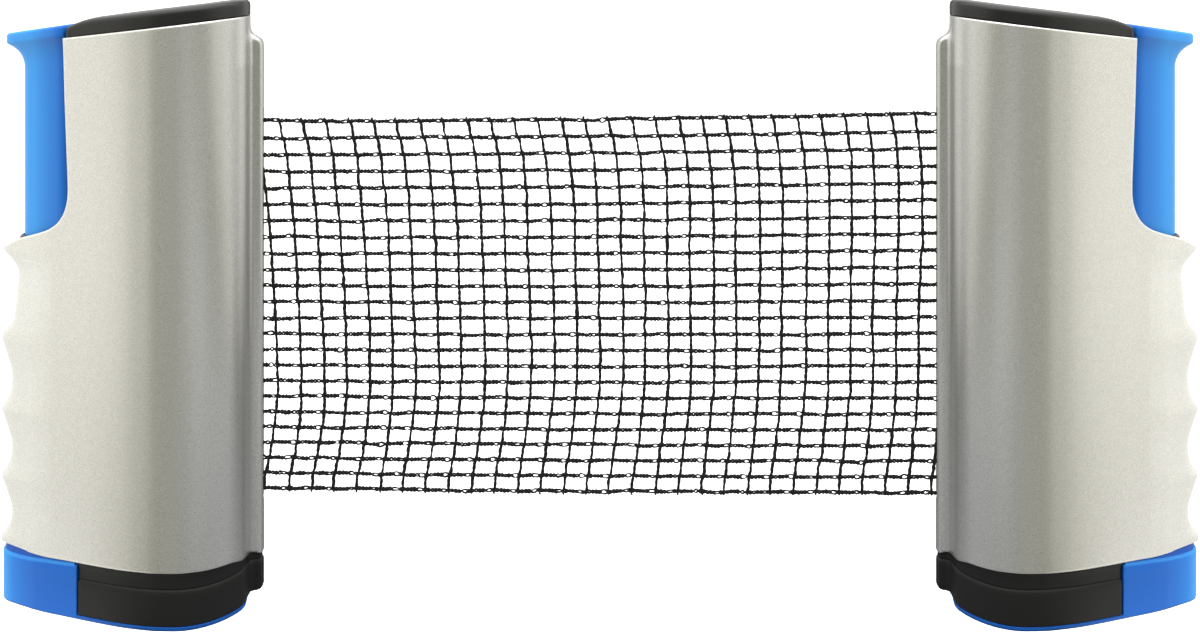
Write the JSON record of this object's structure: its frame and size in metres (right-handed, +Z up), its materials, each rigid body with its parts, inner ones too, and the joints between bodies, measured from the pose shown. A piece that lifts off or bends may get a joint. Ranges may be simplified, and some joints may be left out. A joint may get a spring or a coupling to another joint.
{
  "type": "table tennis net set",
  "caption": "Retractable table tennis net between clamp posts: teardrop finger-grip shells, blue press handles that open spring-closed lower jaws, net wound on a sprung spool.",
  "frame": {"origin": "midway between the two posts, in the plane of the net, level with the underside of the closed lower jaws", "axes": "+X along the net from the left post to the right post, +Y to the rear (screw side), +Z up"},
  "size_m": [0.4166, 0.042, 0.2075],
  "materials": {
    "silver_shell": "satin metallic silver paint",
    "black_plastic": "satin",
    "black_rubber": "matt",
    "blue_plastic": "satin",
    "steel": "plain",
    "natural_plastic": "plain",
    "net_cord": "matt"
  },
  "bodies": {
    "left_post": {"left_front_shell": "silver_shell", "left_rear_shell": "silver_shell", "left_top_cap": "black_plastic", "left_base": "black_plastic", "left_upper_pad": "black_rubber", "left_guide_collar": "black_plastic", "left_spring_seat": "natural_plastic", "left_guide_pin": "steel", "left_clamp_spring": "steel", "left_shell_screw_1": "steel", "left_shell_screw_2": "steel", "left_shell_screw_3": "steel", "spool_axle": "steel", "spool_lower_bush": "black_plastic", "spool_upper_bush": "black_plastic", "spring_cup": "black_plastic", "retraction_spring": "steel"},
    "left_jaw": {"left_press_handle": "blue_plastic", "left_lower_jaw": "blue_plastic", "left_lower_pad": "black_rubber", "left_jaw_screw": "steel"},
    "net_spool": {"spool": "natural_plastic", "net_roll": "net_cord"},
    "right_post": {"right_front_shell": "silver_shell", "right_rear_shell": "silver_shell", "right_top_cap": "black_plastic", "right_base": "black_plastic", "right_upper_pad": "black_rubber", "right_guide_collar": "black_plastic", "right_spring_seat": "natural_plastic", "right_guide_pin": "steel", "right_clamp_spring": "steel", "right_shell_screw_1": "steel", "right_shell_screw_2": "steel", "right_shell_screw_3": "steel", "anchor_tube": "natural_plastic", "anchor_wrap": "net_cord", "anchor_axle": "steel", "anchor_lower_collar": "black_plastic", "anchor_upper_collar": "black_plastic", "net_mesh": "net_cord", "net_top_cord": "net_cord", "net_bottom_cord": "net_cord"},
    "right_jaw": {"right_press_handle": "blue_plastic", "right_lower_jaw": "blue_plastic", "right_lower_pad": "black_rubber", "right_jaw_screw": "steel"}
  },
  "joints": [
    {"name": "left_jaw_slide", "type": "slide", "parent": "left_post", "child": "left_jaw", "axis": [0, 0, -1], "range_m": [0, 0.045], "stiffness_N_per_m": 500, "springref_m": -0.015, "deforming": ["left_clamp_spring"]},
    {"name": "net_pull", "type": "slide", "parent": "left_post", "child": "right_post", "axis": [1, 0, 0], "range_m": [-0.22, 0], "deforming": ["net_mesh", "net_top_cord", "net_bottom_cord"]},
    {"name": "right_jaw_slide", "type": "slide", "parent": "right_post", "child": "right_jaw", "axis": [0, 0, -1], "range_m": [0, 0.045], "stiffness_N_per_m": 500, "springref_m": -0.015, "deforming": ["right_clamp_spring"]},
    {"name": "spool_spin", "type": "hinge", "parent": "left_post", "child": "net_spool", "pos_m": [-0.1405, 0, 0.1], "axis": [0, 0, 1], "range_deg": [-740, 1], "deforming": ["retraction_spring"]}
  ],
  "couplings": [
    {"joint": "spool_spin", "follows": "net_pull", "rad_per_m": 58.48}
  ]
}
